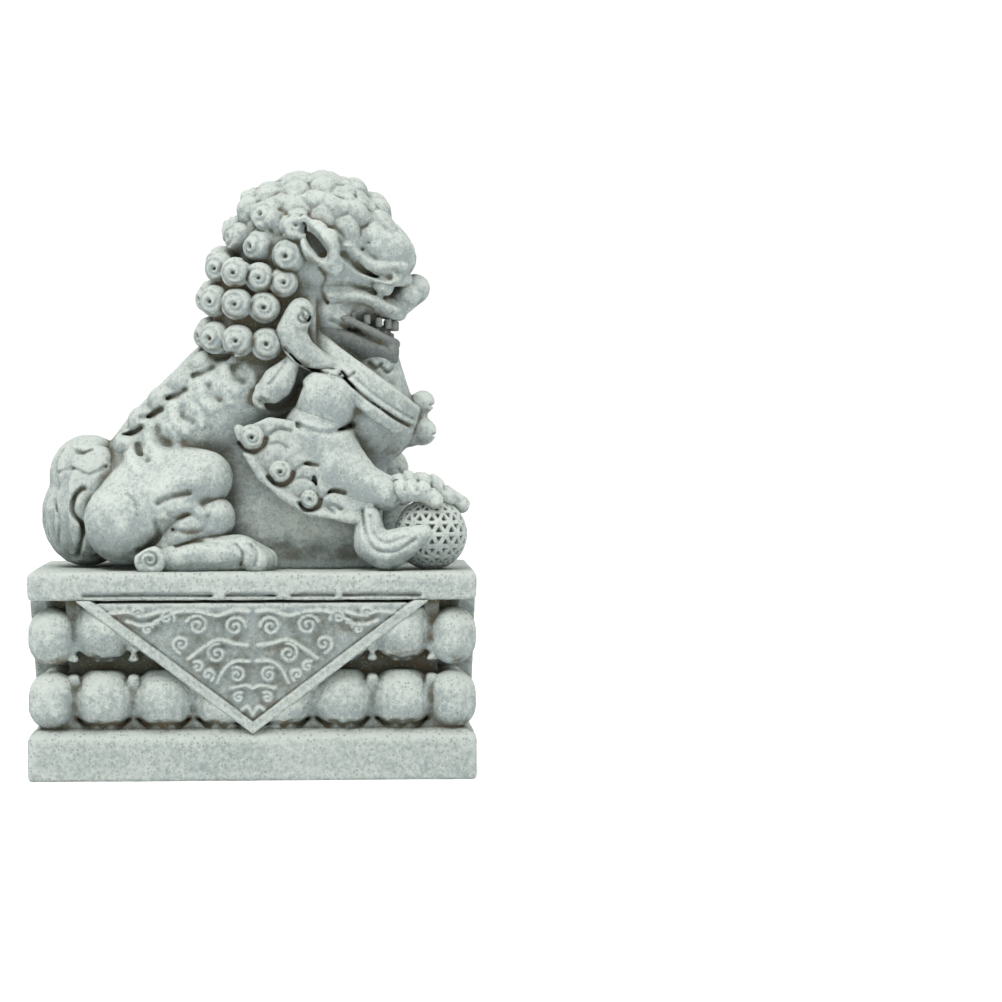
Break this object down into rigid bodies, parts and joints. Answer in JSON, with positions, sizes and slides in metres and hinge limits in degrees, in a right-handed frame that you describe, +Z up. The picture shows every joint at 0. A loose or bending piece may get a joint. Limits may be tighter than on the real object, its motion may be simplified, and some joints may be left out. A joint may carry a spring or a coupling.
{
  "type": "foo dog statue",
  "caption": "Carved granite guardian lion seated on a draped lotus pedestal, with its right forepaw on a brocade ball.",
  "frame": {"origin": "centre of the underside of the plinth, on the surface that the statue stands on", "axes": "+X the way the lion faces, +Y towards the lion's left, +Z up"},
  "size_m": [0.22, 0.125, 0.3028],
  "materials": {
    "pedestal_stone": "fine-punched grey granite with dark flecks",
    "lotus_stone": "chiselled grey granite, darker in the recesses",
    "drape_stone": "shallow carved scrollwork in grey granite",
    "body_stone": "hand-rubbed grey granite",
    "hair_stone": "carved granite curls with drilled eyes",
    "head_stone": "hand-rubbed grey granite",
    "mouth_stone": "granite stained brown in the open mouth",
    "ornament_stone": "carved granite ornament"
  },
  "bodies": {
    "root": {"plinth": "pedestal_stone", "lotus_core": "lotus_stone", "lower_petals": "lotus_stone", "upper_petals": "lotus_stone", "lower_ribs": "lotus_stone", "upper_ribs": "lotus_stone", "top_slab": "pedestal_stone", "drape_right": "drape_stone", "drape_left": "drape_stone", "drape_head_end": "drape_stone", "drape_tail_end": "drape_stone", "torso": "body_stone", "chest": "body_stone", "tail": "hair_stone", "spine_knobs": "hair_stone", "thigh_right": "body_stone", "thigh_left": "body_stone", "shin_right": "body_stone", "shin_left": "body_stone", "hind_foot_right": "body_stone", "hind_foot_left": "body_stone", "shoulder_right": "body_stone", "shoulder_left": "body_stone", "foreleg_right": "body_stone", "foreleg_left": "body_stone", "forepaw_right": "body_stone", "forepaw_left": "body_stone", "leg_fringe_right": "hair_stone", "leg_fringe_left": "hair_stone", "fringe_curls_right": "hair_stone", "fringe_curls_left": "hair_stone", "flame_curl_right": "hair_stone", "flame_curl_left": "hair_stone", "collar": "ornament_stone", "collar_bells": "ornament_stone", "brocade_ball": "ornament_stone", "ball_ribbon": "ornament_stone", "skull": "head_stone", "brow_right": "head_stone", "brow_left": "head_stone", "eyes": "head_stone", "nose": "head_stone", "upper_jaw": "head_stone", "lower_jaw": "mouth_stone", "upper_teeth": "mouth_stone", "lower_teeth": "mouth_stone", "tongue": "mouth_stone", "ear_right": "head_stone", "ear_left": "head_stone", "beard_roll_right": "hair_stone", "beard_roll_left": "hair_stone", "mane_core": "hair_stone", "mane_row_1": "hair_stone", "mane_row_2": "hair_stone", "mane_row_3": "hair_stone", "mane_row_4": "hair_stone", "mane_row_5": "hair_stone", "crown_curls": "hair_stone"}
  },
  "joints": []
}
